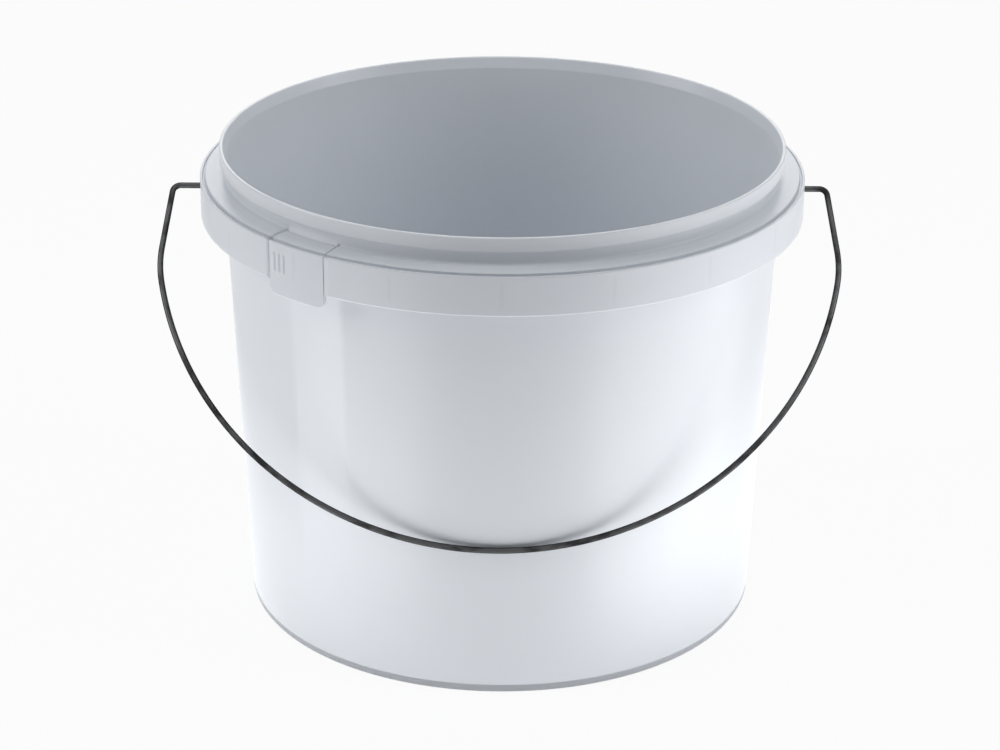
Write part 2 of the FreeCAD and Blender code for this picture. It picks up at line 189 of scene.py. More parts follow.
class PailColours(bpy.types.PropertyGroup):
    """Colours of the finishes."""
    plastic: tint("Plastic", (0.795, 0.825, 0.87), "Cool white polypropylene")
    # Mixed in as random darker mottling, and as painted shade lines on the skirt where the ribs stand behind
    # it.
    plastic_mottle_and_rib_shade: tint("Plastic shade", (0.725, 0.755, 0.80), "Plastic where ribs stand behind it")
    # Painted shade: the skirt and ledge are mixed a fifth of the way to this darker colour.
    plastic_painted_rim_shade: tint("Thin plastic", (0.56, 0.59, 0.645), "Plastic of the thin skirt and ledge")
    wire: tint("Wire", (0.07, 0.071, 0.073), "Dark zinc-plated wire")
    wire_dark: tint("Dark wire", (0.022, 0.022, 0.023), "Wire where the plating has dulled")
    floor: tint("Floor", (0.93, 0.93, 0.93), "Pale floor")
    floor_grain: tint("Floor grain", (0.88, 0.88, 0.88), "Faint cloudiness of the floor")


# ---------------------------------------------------------------- profile geometry
def wall_out(pail, height):
    """Outer radius of the wall: the radius at the skirt's foot plus the rise times the draft's slope."""
    foot = pail.rim_height - pail.skirt_drop - pail.skirt_depth
    return pail.skirt_radius - pail.wall_inset + (height - foot) * math.tan(pail.wall_draft)


def fillet(corners):
    """Outline with rounded corners. Each corner is (across, up, radius). The arc touches both sides at
    radius times tan(half the turn) from the corner, and one more point on each side, a share of the
    radius further on, holds the flat beside it. Returns the points and, for each corner, its first and
    last index."""
    points, spans = [], []
    count = len(corners)
    for index, (across, up, radius) in enumerate(corners):
        here = np.array([across, up])
        before = np.array(corners[index - 1][:2])
        after = np.array(corners[(index + 1) % count][:2])
        first = len(points)
        if radius == 0:
            points.append(here)
        else:
            arrive, leave = here - before, after - here
            room = ROOM * min(np.linalg.norm(arrive), np.linalg.norm(leave))
            arrive, leave = arrive / np.linalg.norm(arrive), leave / np.linalg.norm(leave)
            half = 0.5 * math.acos(float(np.clip(arrive @ leave, -1, 1)))
            reach = min(radius * math.tan(half), room)
            true_radius = reach / math.tan(half)
            inward = leave - arrive
            inward = inward / np.linalg.norm(inward)
            centre = here + inward * (true_radius / math.cos(half))
            side = np.array([-inward[1], inward[0]])
            sign = math.copysign(1.0, side @ (here - arrive * reach - centre))
            turns = np.linspace(half, -half, ARC_STEPS)[:, None]
            bend = centre + true_radius * (-inward * np.cos(turns) + side * sign * np.sin(turns))
            points.append(here - arrive * min(reach * (1 + HOLD), room * HOLD_ROOM))
            points.extend(bend)
            points.append(here + leave * min(reach * (1 + HOLD), room * HOLD_ROOM))
        spans.append((first, len(points) - 1))
    return np.array(points), spans


def divide(points, start, end, pieces):
    """The outline with the straight between two neighbouring points cut into equal pieces."""
    share = np.linspace(0, 1, pieces + 1)[1:-1, None]
    between = points[start] * (1 - share) + points[end] * share
    return np.concatenate([points[:start + 1], between, points[end:]])


def ledge_corners(pail, root_under, root_top, skirt_foot):
    """Corners of the ledge and skirt section, from under its root, round the skirt and back to its top."""
    top, skirt_top = pail.rim_height - pail.ledge_drop, pail.rim_height - pail.skirt_drop
    inside = pail.skirt_radius - pail.skirt_thickness
    trough_out = pail.skirt_radius - pail.skirt_edge
    trough_in = trough_out - pail.trough_width
    trough_floor = skirt_top - pail.trough_depth
    return [
        (*root_under, 0.5 * MM),
        (inside, trough_floor - pail.ledge_thickness, 0.6 * MM),
        (inside, skirt_foot, 0.35 * MM),
        (pail.skirt_radius, skirt_foot, 0.45 * MM),
        (pail.skirt_radius, skirt_top, 0.42 * MM),
        (trough_out, skirt_top, 0.38 * MM),
        (trough_out, trough_floor, 0.25 * MM),
        (trough_in, trough_floor, 0.25 * MM),
        (trough_in, top - pail.ledge_fall, 0.35 * MM),
        (*root_top, 0.55 * MM),
    ]


def bucket_profile(pail):
    """Half section of the whole moulding, from the axis under the base, round the outside, to the floor
    inside. Returns it with the two indices between which the ledge and skirt stand out."""
    rim = pail.rim_height
    foot_in = wall_out(pail, 0) - pail.foot_width
    under = rim - pail.ledge_drop - pail.ledge_thickness
    lip_foot, lip_out = rim - pail.lip_depth, pail.skirt_radius - pail.lip_inset
    neck = pail.skirt_radius - pail.neck_inset
    base_top, mouth = pail.base_recess + pail.base_thickness, rim - pail.mouth_depth
    skirt_foot = rim - pail.skirt_drop - pail.skirt_depth
    below = [
        (0, pail.base_recess + pail.gate_depth, 0),
        (pail.gate_radius, pail.base_recess + pail.gate_depth, 0.2 * MM),
        (pail.gate_radius + pail.gate_depth, pail.base_recess, 0.3 * MM),
        (foot_in - 0.4 * MM, pail.base_recess, 0.6 * MM),
        (foot_in, 0, 0.5 * MM),
        (wall_out(pail, 0), 0, pail.foot_round),
    ]
    middle = ledge_corners(pail, (wall_out(pail, under), under), (neck, rim - pail.ledge_drop), skirt_foot)
    above = [
        (neck, lip_foot, 0.35 * MM),
        (lip_out, lip_foot, 0.4 * MM),
        (lip_out, rim, 0.55 * MM),
        (lip_out - pail.crest_width, rim, 0.6 * MM),
        (wall_out(pail, mouth) - pail.wall_thickness, mouth, 3.0 * MM),
        (wall_out(pail, base_top) - pail.wall_thickness, base_top, pail.inner_round),
        (0, base_top, 0),
    ]
    points, spans = fillet(below + middle + above)
    start, end = spans[len(below)][0], spans[len(below) + len(middle) - 1][1]
    return points, spans, len(below), start, end


# ---------------------------------------------------------------- mesh building
def grid_quads(rows, columns, wrap=False, offset=0):
    """Quads of a grid whose vertex (row, column) has index offset + row * columns + column. With wrap
    the last column joins the first."""
    across = columns if wrap else columns - 1
    row, column = np.meshgrid(np.arange(rows - 1), np.arange(across), indexing="ij")
    after = (column + 1) % columns
    corners = [row * columns + column, row * columns + after, (row + 1) * columns + after,
               (row + 1) * columns + column]
    return (np.stack(corners, axis=-1).reshape(-1, 4) + offset).tolist()


def finish_mesh(name, points, faces, uv=None):
    """An object at the origin with the points as its vertices: doubles merged, normals outwards, smooth."""
    mesh = bpy.data.meshes.new(name)
    mesh.from_pydata(np.asarray(points).tolist(), [], faces)
    if uv is not None:
        corner = np.zeros(len(mesh.loops), dtype=np.int32)
        mesh.loops.foreach_get("vertex_index", corner)
        mesh.uv_layers.new(name="along").data.foreach_set("uv", uv[corner].astype(np.float32).ravel())
    work = bmesh.new()
    work.from_mesh(mesh)
    bmesh.ops.remove_doubles(work, verts=work.verts, dist=2e-6)
    bmesh.ops.dissolve_degenerate(work, edges=work.edges, dist=1e-7)
    bmesh.ops.recalc_face_normals(work, faces=work.faces)
    work.to_mesh(mesh)
    work.free()
    mesh.polygons.foreach_set("use_smooth", np.ones(len(mesh.polygons), dtype=bool))
    made = bpy.data.objects.new(name, mesh)
    bpy.context.scene.collection.objects.link(made)
    return made


def spun(profile, azimuths):
    """Points of a profile turned about the axis: (r cos a, r sin a, z) for each azimuth a and profile
    point."""
    across, up = profile[:, 0], profile[:, 1]
    return np.stack([np.cos(azimuths)[:, None] * across, np.sin(azimuths)[:, None] * across,
                     np.broadcast_to(up, (len(azimuths), len(up)))], axis=-1)


def press_dimples(points, pail, radius, depth):
    """Dimples where the wire comes through the skirt: on the skirt's outer face a point at distance d from
    the pivot axis moves in by depth times a smooth step that falls from 1 to 0 as d / radius goes from the
    dimple's floor to its edge."""
    floor, edge = 0.75, 1.15
    away = np.hypot(points[..., 1], points[..., 2] - pail.pivot_height)
    outer = np.hypot(points[..., 0], points[..., 1]) > pail.skirt_radius - 0.2 * MM
    fade = np.clip((edge - away / radius) / (edge - floor), 0, 1)
    move = np.where(outer, depth * fade * fade * (3 - 2 * fade), 0)
    points[..., 0] -= np.sign(points[..., 0]) * move
    return points


def half_window(pail, tab):
    """Half of the angle of the window that the tab stands in."""
    return tab.sweep / 2 + math.atan(tab.slit / pail.skirt_radius)


def bucket_points(pail, tab, wire_radius):
    """The moulding in two turned grids: the full section all the way round but for the tab's window,
    and there the section without its ledge and skirt. A flat outline of the ledge's section closes each
    side."""
    profile, spans, first, start, end = bucket_profile(pail)
    face = spans[first + 3][1], spans[first + 4][0]
    profile = divide(profile, face[0], face[1], SKIRT_CUTS)
    end += SKIRT_CUTS - 1
    half = half_window(pail, tab)
    edge_after, edge_before = tab.azimuth + half, tab.azimuth - half + 2 * math.pi
    coarse = np.linspace(edge_after, edge_before, WALL_STEPS)
    beside_ear = np.radians(np.arange(-EAR_SPAN, EAR_SPAN + EAR_STEP / 10, EAR_STEP))
    near_ears = [math.pi + beside_ear + side for side in (math.pi, 2 * math.pi)]
    azimuths = np.unique(np.concatenate([coarse, *near_ears]))
    full = press_dimples(spun(profile, azimuths), pail, wire_radius, DIMPLE_DEPTH)
    stub_radius = wall_out(pail, pail.rim_height - pail.ledge_drop) + tab.root
    stub = np.array([[stub_radius, profile[start][1] + 0.5 * MM], [stub_radius, profile[end][1] - 0.5 * MM]])
    bare = np.concatenate([profile[:start + 1], stub, profile[end:]])
    window = spun(bare, np.linspace(tab.azimuth - half, tab.azimuth + half, WINDOW_STEPS))
    section = np.concatenate([profile[start:end + 1], stub[::-1]])
    caps = [spun(section, np.array([side]))[0] for side in (edge_after, edge_before)]
    blocks, faces, offset = [full, window], [], 0
    for block in blocks:
        faces += grid_quads(block.shape[0], block.shape[1], offset=offset)
        offset += block.shape[0] * block.shape[1]
    for cap in caps:
        faces.append(list(range(offset, offset + len(cap))))
        offset += len(cap)
    points = np.concatenate([block.reshape(-1, 3) for block in blocks] + caps)
    return points, faces


def rib_points(pail):
    """Ribs and ears under the ledge. A rib is a plate between the wall and the skirt whose section is
    the ribs' outline, half its thickness to each side of its azimuth. An ear is a profile turned about
    the pivot axis."""
    rise = pail.rim_height - pail.skirt_drop - pail.skirt_depth + pail.gusset_rise
    inside = pail.skirt_radius - pail.skirt_thickness
    trough_floor = pail.rim_height - pail.skirt_drop - pail.trough_depth
    inner = wall_out(pail, rise) - BITE
    outline = fillet([
        (inner, rise, 0), (inside + BITE, rise, 0),
        (inside + BITE, trough_floor - pail.ledge_thickness + BITE, 0),
        (inner, pail.rim_height - pail.ledge_drop - pail.ledge_thickness + BITE, 0)])[0]
    azimuths = pail.gusset_first + pail.gusset_pitch * np.arange(pail.gusset_count)
    sides = np.array([-0.5, 0.5]) * pail.gusset_thickness
    radial = np.stack([np.cos(azimuths), np.sin(azimuths)], axis=-1)
    across = np.stack([-radial[:, 1], radial[:, 0]], axis=-1)
    flat = (radial[:, None, None, :] * outline[None, None, :, :1]
            + across[:, None, None, :] * sides[None, :, None, None])
    up = np.broadcast_to(outline[None, None, :, 1:], (*flat.shape[:3], 1))
    plates = np.concatenate([flat, up], axis=-1)
    count = len(outline)
    faces = []
    for rib in range(pail.gusset_count):
        base = rib * 2 * count
        faces += grid_quads(2, count, wrap=True, offset=base)
        faces += [list(range(base, base + count)), list(range(base + count, base + 2 * count))]
    points = [plates.reshape(-1, 3)]
    offset = pail.gusset_count * 2 * count
    ear_end = inside - pail.ear_depth
    ear = fillet([(ear_end, 0, 0), (ear_end, pail.ear_radius, 0.4 * MM),
                         (inside + BITE, pail.ear_radius + 0.1 * MM, 0), (inside + BITE, 0, 0)])[0]
    turns = np.linspace(0, 2 * math.pi, 49)
    for side in (-1, 1):
        along = np.broadcast_to(side * ear[:, 0], (len(turns), len(ear)))
        boss = np.stack([along, np.cos(turns)[:, None] * ear[:, 1],
                         np.sin(turns)[:, None] * ear[:, 1] + pail.pivot_height], axis=-1)
        faces += grid_quads(len(turns), len(ear), offset=offset)
        points.append(boss.reshape(-1, 3))
        offset += boss.shape[0] * boss.shape[1]
    return np.concatenate(points), faces


def tab_points(pail, tab):
    """The tab: the ledge and skirt section turned over a short sweep. Below the skirt's top a point's
    height is scaled so that the section ends on the tab's outline, whose lower corners are quarter
    circles. Ribs add a rounded hump to the outer face, in azimuth and in height."""
    top = pail.rim_height - pail.ledge_drop
    root = wall_out(pail, top) + tab.root + tab.gap
    corners = ledge_corners(pail, (root, top - pail.ledge_thickness), (root, top), tab.foot)
    corners[0] = (*corners[0][:2], 0.2 * MM)
    corners[-1] = (*corners[-1][:2], 0.2 * MM)
    section, spans = fillet(corners)
    section = divide(section, spans[3][1], spans[4][0], TAB_CUTS)
    half = tab.sweep / 2
    ends = half - np.radians(np.array([0.0, 0.02, 0.06, 0.14, 0.26]))
    offsets = np.unique(np.concatenate([-ends, np.linspace(-half, half, TAB_STEPS)[4:-4], ends]))
    points = spun(section, tab.azimuth + offsets)
    corner_start = half * pail.skirt_radius - tab.corner
    beside = np.clip(np.abs(offsets) * pail.skirt_radius - corner_start, 0, tab.corner)
    lift = tab.corner - np.sqrt(tab.corner ** 2 - beside ** 2)
    skirt_top = pail.rim_height - pail.skirt_drop
    still = skirt_top - 4 * MM
    share = np.clip((still - points[..., 2]) / (still - tab.foot), 0, 1)
    points[..., 2] += share * lift[:, None]
    skin = 0.1 * MM
    away = np.hypot(points[..., 0], points[..., 1])
    outer = np.clip((away - pail.skirt_radius + skin) / skin, 0, 1)
    run = (offsets - tab.rib_shift) * pail.skirt_radius
    nearest = np.clip(np.round(run / tab.rib_pitch), -(tab.ribs - 1) / 2, (tab.ribs - 1) / 2)
    hump = np.clip(1 - ((run - nearest * tab.rib_pitch) / (tab.rib_width / 2)) ** 2, 0, 1)
    middle, half_tall, run_out = skirt_top - 7.5 * MM, 3.6 * MM, 0.6 * MM
    ends_of_rib = np.clip((half_tall - np.abs(points[..., 2] - middle)) / run_out, 0, 1)
    push = tab.rib_height * outer * np.sqrt(hump)[:, None] * np.sqrt(ends_of_rib)
    points[..., :2] += points[..., :2] / away[..., None] * push[..., None]
    rows, columns = points.shape[:2]
    faces = grid_quads(rows, columns, wrap=True)
    faces += [list(range(columns)), list(range((rows - 1) * columns, rows * columns))]
    return points.reshape(-1, 3), faces


def bail_route(pail, bail):
    """Half of the wire's centre line, from the middle of its arc to the end of its hook, in the bail's
    own plane (across, down from the pivot axis). The chain is arc, knee, leg, corner, stub, hook bend
    and hook, each tangent to the next. The knee's centre lies where it touches the leg's line and the
    arc from inside."""
    radius = pail.skirt_radius + bail.spread
    along = np.array([math.sin(bail.leg_flare), math.cos(bail.leg_flare)])
    inward = np.array([-math.cos(bail.leg_flare), math.sin(bail.leg_flare)])
    centre = np.array([0, bail.arc_drop])
    corner_centre = np.array([pail.skirt_radius + bail.stub, bail.corner_bend])
    leg_top = corner_centre - inward * bail.corner_bend
    reach = leg_top + inward * bail.knee_bend - centre
    lean = reach @ along
    run = -lean + math.sqrt(lean ** 2 - reach @ reach + (radius - bail.knee_bend) ** 2)
    leg_end = leg_top + along * run
    knee_centre = leg_end + inward * bail.knee_bend
    knee_start = centre + (knee_centre - centre) * radius / (radius - bail.knee_bend)

    def bend(middle, size, start, finish, count):
        turns = [math.atan2(*(point - middle)) for point in (start, finish)]
        angles = np.linspace(turns[0], turns[1], count)[:, None]
        return middle + size * np.concatenate([np.sin(angles), np.cos(angles)], axis=1)

    hook = pail.skirt_radius - bail.hook_inset
    hook_start = np.array([hook + bail.hook_bend, 0])
    hook_centre = hook_start - np.array([0, bail.hook_bend])
    stub_end = corner_centre + np.array([0, -bail.corner_bend])
    turns = np.linspace(0, math.pi / 2, 9)
    hook_bent = hook_centre + bail.hook_bend * np.stack([-np.sin(turns), np.cos(turns)], axis=1)
    return np.concatenate([
        bend(centre, radius, centre + np.array([0, radius]), knee_start, count=120),
        bend(knee_centre, bail.knee_bend, knee_start, leg_end, count=12)[1:],
        leg_end + (leg_top - leg_end) * np.linspace(0, 1, 12)[1:, None],
        bend(corner_centre, bail.corner_bend, leg_top, stub_end, count=14)[1:],
        stub_end + (hook_start - stub_end) * np.linspace(0, 1, 8)[1:, None],
        hook_bent[1:],
        np.array([[hook, -bail.hook_reach]]),
    ])


def rest_lean(pail, bail):
    """Angle from straight down at which the arc's middle touches the wall: asin((wall radius at the pivot's
    height * cos draft + wire radius + gap) / drop of the arc) - draft."""
    drop = pail.skirt_radius + bail.spread + bail.arc_drop
    wall = wall_out(pail, pail.pivot_height) * math.cos(pail.wall_draft)
    return math.asin((wall + bail.wire_radius + bail.rest_gap) / drop) - pail.wall_draft


def bail_points(pail, bail):
    """A round section carried along the centre line: point = centre + r (cos t * side + sin t * plane
    normal), where side is the line's normal in the bail's plane. The last sections shrink over a
    quarter circle."""
    half = bail_route(pail, bail)
    mirrored = half[:0:-1] * np.array([-1, 1])
    line = np.concatenate([mirrored, half])
    tangent = np.gradient(line, axis=0)
    tangent /= np.linalg.norm(tangent, axis=1)[:, None]
    ease = np.linspace(0, math.pi / 2, END_STEPS)
    back = bail.end_round * (1 - np.sin(ease))
    heads, tails = line[0] + tangent[0] * back[::-1, None], line[-1] - tangent[-1] * back[:, None]
    radii = bail.wire_radius - bail.end_round * (1 - np.cos(ease))
    radius = np.concatenate([[0], radii[::-1], np.full(len(line) - 2, bail.wire_radius), radii, [0]])
    line = np.concatenate([line[:1], heads[::-1], line[1:-1], tails[::-1], line[-1:]])
    tangent = np.concatenate([np.repeat(tangent[:1], END_STEPS + 1, 0), tangent[1:-1],
                              np.repeat(tangent[-1:], END_STEPS + 1, 0)])
    side = np.stack([-tangent[:, 1], tangent[:, 0]], axis=1)
    turns = np.linspace(0, 2 * math.pi, WIRE_SIDES)
    flat = line[:, None, :] + side[:, None, :] * (radius[:, None] * np.cos(turns))[..., None]
    proud = radius[:, None] * np.sin(turns)
    lean = rest_lean(pail, bail)
    x, down = flat[..., 0] - bail.side_shift, flat[..., 1]
    y = -down * math.sin(lean) + proud * math.cos(lean)
    z = pail.pivot_height - down * math.cos(lean) - proud * math.sin(lean)
    points = np.stack([x, y, z], axis=-1)
    travel = np.concatenate([[0], np.cumsum(np.linalg.norm(np.diff(line, axis=0), axis=1))])
    uv = np.stack(np.broadcast_arrays(travel[:, None], turns[None, :] * bail.wire_radius), axis=-1)
    return points.reshape(-1, 3), grid_quads(*points.shape[:2]), uv.reshape(-1, 2)


# ---------------------------------------------------------------- materials
class Value:
    """One output of a shader node. Arithmetic on it adds Math nodes."""

    def __init__(self, nodes, socket):
        self.nodes = nodes
        self.socket = socket

    def __add__(self, other):
        return self.nodes.maths("ADD", self, other)

    def __sub__(self, other):
        return self.nodes.maths("SUBTRACT", self, other)

    def __mul__(self, other):
        return self.nodes.maths("MULTIPLY", self, other)

    def __truediv__(self, other):
        return self.nodes.maths("DIVIDE", self, other)

    def __rsub__(self, other):
        return self.nodes.maths("SUBTRACT", other, self)

    __radd__ = __add__
    __rmul__ = __mul__

    def beside(self, output):
        """Another output of the same node."""
        return Value(self.nodes, self.socket.node.outputs[output])

    def step(self, low, high):
        """0 below low, 1 above high and smooth between them."""
        return self.nodes.node("ShaderNodeMapRange", {"interpolation_type": "SMOOTHSTEP"},
                               {0: self, 1: low, 2: high, 3: 0.0, 4: 1.0})


class Nodes:
    """The node tree of a material or world. Every node comes from its one node method."""

    def __init__(self, owner):
        owner.use_nodes = True
        self.tree = owner.node_tree
        self.tree.nodes.clear()

    def node(self, kind, settings=None, inputs=None, output=0):
        """A node of a kind, its settings first, then its sockets' values or links. Returns one output."""
        made = self.tree.nodes.new(kind)
        for key, value in (settings or {}).items():
            setattr(made, key, value)
        for key, value in (inputs or {}).items():
            if isinstance(value, Value):
                self.tree.links.new(value.socket, made.inputs[key])
            else:
                made.inputs[key].default_value = value
        return Value(self, made.outputs[output]) if len(made.outputs) else None

    def maths(self, operation, first, second=0.0):
        """A Math node."""
        return self.node("ShaderNodeMath", {"operation": operation}, {0: first, 1: second})

    def place(self, output="Object"):
        """A texture coordinate."""
        return self.node("ShaderNodeTexCoord", output=output)

    def stretched(self, where, scale):
        """A coordinate scaled along each axis."""
        return self.node("ShaderNodeMapping", {}, {"Vector": where, "Scale": scale})

    def noise(self, where, scale, detail=3.0, roughness=0.5):
        """Noise between 0 and 1."""
        return self.node("ShaderNodeTexNoise", {}, {"Vector": where, "Scale": scale, "Detail": detail,
                                                    "Roughness": roughness})

    def mix(self, share, first, second):
        """A colour between two colours."""
        return self.node("ShaderNodeMix", {"data_type": "RGBA"}, {0: share, 6: first, 7: second}, output=2)

    def bump(self, height, distance):
        """A normal from a height between 0 and 1."""
        return self.node("ShaderNodeBump", {}, {"Height": height, "Distance": distance})

    def seen(self):
        """1 for what the camera sees, directly or in a reflection or through glass, otherwise 0."""
        ray = self.node("ShaderNodeLightPath", output="Is Camera Ray")
        mirrored = self.maths("MAXIMUM", ray.beside("Is Glossy Ray"), ray.beside("Is Transmission Ray"))
        return self.maths("MAXIMUM", ray, mirrored)

    def close(self, surface, kind="ShaderNodeOutputMaterial"):
        """Ends the tree with its surface."""
        self.node(kind, {}, {"Surface": surface})


def colour(values):
    """A colour with full alpha."""
    return (*values, 1.0)


def white_plastic(nodes, pail, colours):
    """Glossy cool white polypropylene: a faint ripple and fine grain, duller scuffs that run round it,
    random darker mottling, painted shade on the skirt and ledge, painted shade lines on the skirt where
    ribs stand behind it, and dulled at the foot."""
    place = nodes.place()
    x = nodes.node("ShaderNodeSeparateXYZ", {}, {"Vector": place})
    y, z = x.beside("Y"), x.beside("Z")
    away = nodes.maths("SQRT", x * x + y * y)
    pitch_count = (nodes.maths("ARCTAN2", y, x) - pail.gusset_first) / pail.gusset_pitch + 40.5
    from_rib = nodes.maths("ABSOLUTE", nodes.maths("FRACT", pitch_count) - 0.5)
    # Painted shade: darker lines on the skirt's face at every rib's azimuth stand in for the ribs' shade
    # seen through the skirt.
    painted_rib_shade = 1.0 - (from_rib * (pail.gusset_pitch * pail.skirt_radius)).step(0.2 * MM, 1.1 * MM)
    skirt_top = pail.rim_height - pail.skirt_drop
    skirt_foot = skirt_top - pail.skirt_depth
    on_skirt = (away.step(pail.skirt_radius - 1.2 * MM, pail.skirt_radius - 0.6 * MM)
                * z.step(skirt_foot + 1.5 * MM, skirt_foot + 4 * MM)
                * (1.0 - z.step(skirt_top - 3 * MM, skirt_top - 1 * MM)))
    # Painted shade over the skirt and the ledge outside the lip: they are mixed a fifth of the way to the
    # darker rim colour.
    painted_rim_shade = (away.step(pail.skirt_radius - 6.6 * MM, pail.skirt_radius - 5.2 * MM)
            * z.step(skirt_foot - 6 * MM, skirt_foot - 5 * MM))
    broad = nodes.noise(place, scale=14.0, detail=2.0)
    # Random darker mottling, plus the painted rib shade lines on the skirt.
    shade = nodes.maths("MINIMUM", painted_rib_shade * on_skirt * 0.5 + (broad - 0.5) * 0.25 + 0.12, 1.0)
    round_it = nodes.stretched(place, (1.0, 1.0, 9.0))
    scuffs = nodes.noise(round_it, scale=55.0, detail=6.0, roughness=0.7).step(0.56, 0.72)
    worn_foot = 1.0 - z.step(0.0, 6 * MM)
    ripple = (nodes.noise(place, scale=30.0, detail=2.0) * 0.7
              + nodes.noise(place, scale=900.0, detail=2.0) * 0.06)
    body = nodes.mix(shade, colour(colours.plastic), colour(colours.plastic_mottle_and_rib_shade))
    nodes.close(nodes.node("ShaderNodeBsdfPrincipled", {}, {
        "Base Color": nodes.mix(painted_rim_shade * 0.2, body, colour(colours.plastic_painted_rim_shade)),
        "Roughness": 0.285 + broad * 0.05 + scuffs * 0.05 + worn_foot * 0.14,
        "Normal": nodes.bump(ripple, distance=0.35 * MM),
        "IOR": 1.49,
        "Subsurface Weight": 0.12,
        "Subsurface Radius": (1.0, 1.0, 1.0),
        "Subsurface Scale": 2 * MM,
    }))


def drawn_wire(nodes, colours):
    """Drawn steel wire, zinc-plated: fine lines along it, and duller, darker patches."""
    along = nodes.place("UV")
    lines = nodes.noise(nodes.stretched(along, (60.0, 9000.0, 1.0)), scale=1.0)
    patches = nodes.noise(nodes.stretched(along, (90.0, 260.0, 1.0)), scale=1.0, detail=4.0, roughness=0.6)
    dull = patches.step(0.42, 0.68)
    nodes.close(nodes.node("ShaderNodeBsdfPrincipled", {}, {
        "Base Color": nodes.mix(dull, colour(colours.wire), colour(colours.wire_dark)),
        "Metallic": 1.0,
        "Specular Tint": (0.12, 0.12, 0.12, 1.0),
        "Roughness": 0.26 + lines * 0.12 + dull * 0.16,
        "Normal": nodes.bump(lines * 0.6 + patches * 0.4, distance=0.004 * MM),
    }))


def pale_floor(nodes, colours):
    """Pale floor that reads as white to the camera and still takes a shadow."""
    grain = nodes.noise(nodes.place(), scale=40.0) * 0.02
    matt = nodes.node("ShaderNodeBsdfDiffuse", {}, {
        "Color": nodes.mix(grain, colour(colours.floor), colour(colours.floor_grain))})
    glow = nodes.node("ShaderNodeEmission", {}, {"Color": WHITE, "Strength": 1.0})
    nodes.close(nodes.node("ShaderNodeMixShader", {}, {0: nodes.seen() * FLOOR_GLOW, 1: matt, 2: glow}))


def material(make, *settings):
    """The material that a function makes, under the function's name, made the first time it is asked
    for."""
    name = f"{make.__name__}_finish"
    made = bpy.data.materials.get(name)
    if made is None:
        made = bpy.data.materials.new(name)
        make(Nodes(made), *settings)
    return made


# ---------------------------------------------------------------- operators
def settle(piece, body, slot, finish, *nodes):
    """Gives a piece its finish and the body it rides on, and hides the frame's nodes it stands for. Its slot
    is not used.
    """
    piece.data.materials.append(finish)
    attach(piece, body)
    if nodes:
        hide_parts(*nodes)


class PAIL_OT_bucket(bpy.types.Operator):
    """Make the bucket's moulding, with the ribs and ears under its ledge"""
    bl_idname = "pail.bucket"
    bl_label = "Bucket"

    def execute(self, context):
        scene = context.scene
        plastic = material(white_plastic, scene.pail_sizes, scene.pail_colours)
        shell = finish_mesh("bucket_shell", *bucket_points(scene.pail_sizes, scene.tab_sizes,
                                                           scene.bail_sizes.wire_radius))
        settle(shell, "bucket", "white_plastic", plastic, "bucket_body")
        ribs = finish_mesh("ledge_ribs", *rib_points(scene.pail_sizes))
        settle(ribs, "bucket", "white_plastic", plastic)
        return {"FINISHED"}


class PAIL_OT_tab(bpy.types.Operator):
    """Make the tear tab"""
    bl_idname = "pail.tab"
    bl_label = "Tear tab"

    def execute(self, context):
        scene = context.scene
        plastic = material(white_plastic, scene.pail_sizes, scene.pail_colours)
        tab = finish_mesh("tab_grip", *tab_points(scene.pail_sizes, scene.tab_sizes))
        settle(tab, "tab", "white_plastic", plastic, "tear_tab")
        return {"FINISHED"}


class PAIL_OT_bail(bpy.types.Operator):
    """Make the wire bail"""
    bl_idname = "pail.bail"
    bl_label = "Wire bail"

    def execute(self, context):
        scene = context.scene
        bail = finish_mesh("bail_handle", *bail_points(scene.pail_sizes, scene.bail_sizes))
        settle(bail, "bail", "bail_wire", material(drawn_wire, scene.pail_colours), "wire_bail")
        return {"FINISHED"}


def soft_box(name, place, facing, across, size, power):
    """A rectangular lamp that shines along facing, its first side along across."""
    lamp = bpy.data.lights.new(name, "AREA")
    lamp.shape = "RECTANGLE"
    lamp.size, lamp.size_y = size
    lamp.energy = power
    holder = bpy.data.objects.new(name, lamp)
    back, first = -Vector(facing).normalized(), Vector(across).normalized()
    turned = Matrix((first, back.cross(first), back)).transposed()
    holder.rotation_mode = "QUATERNION"
    holder.rotation_quaternion = turned.to_quaternion()
    holder.location = place
    holder.visible_camera = False
    bpy.context.scene.collection.objects.link(holder)


LAMPS = (
    # name, place, facing, direction of its first side, size, power
    ("left_box", (-1.2, -0.22, 0.72), (1.2, 0.22, -0.62), (0.22, -1.2, 0), (0.6, 0.9), 5.1),
    ("right_box", (1.2, -0.3, 0.72), (-1.2, 0.3, -0.62), (0.3, 1.2, 0), (0.6, 0.9), 5.2),
    ("left_low_box", (-0.25, -0.258, 0.004), (0, 0, 1), (-0.545, -0.839, 0), (0.40, 0.19), 0.3),
    ("right_low_box", (0.355, -0.16, 0.004), (0, 0, 1), (0.643, -0.766, 0), (0.42, 0.40), 0.9),
    ("floor_box", (0, 0, 0.003), (0, 0, 1), (1, 0, 0), (0.34, 0.66), 0.42),
    ("top_box", (0, 0.05, 0.95), (0, 0, -1), (1, 0, 0), (0.9, 0.9), 2.5),
    ("back_box", (0, 1.25, 0.72), (0, -1.25, -0.62), (-1, 0, 0), (0.8, 0.6), 2.6),
)


CAMERA_LENS, CAMERA_SENSOR = 104.2, 36.0
CAMERA_PLACE, CAMERA_AIM = (0, -1.0235, 0.5256), (-0.00047, 0, 0.0849)
CAMERA_ROLL = math.radians(0.33)
FLOOR_REACH = 3.0
AMBIENT_COLOUR, AMBIENT_STRENGTH = (0.93, 0.97, 1.0, 1.0), 0.12
WHITE = (1.0, 1.0, 1.0, 1.0)
FLOOR_GLOW = 0.93       # share of plain white that the floor shows, the rest takes the shadow


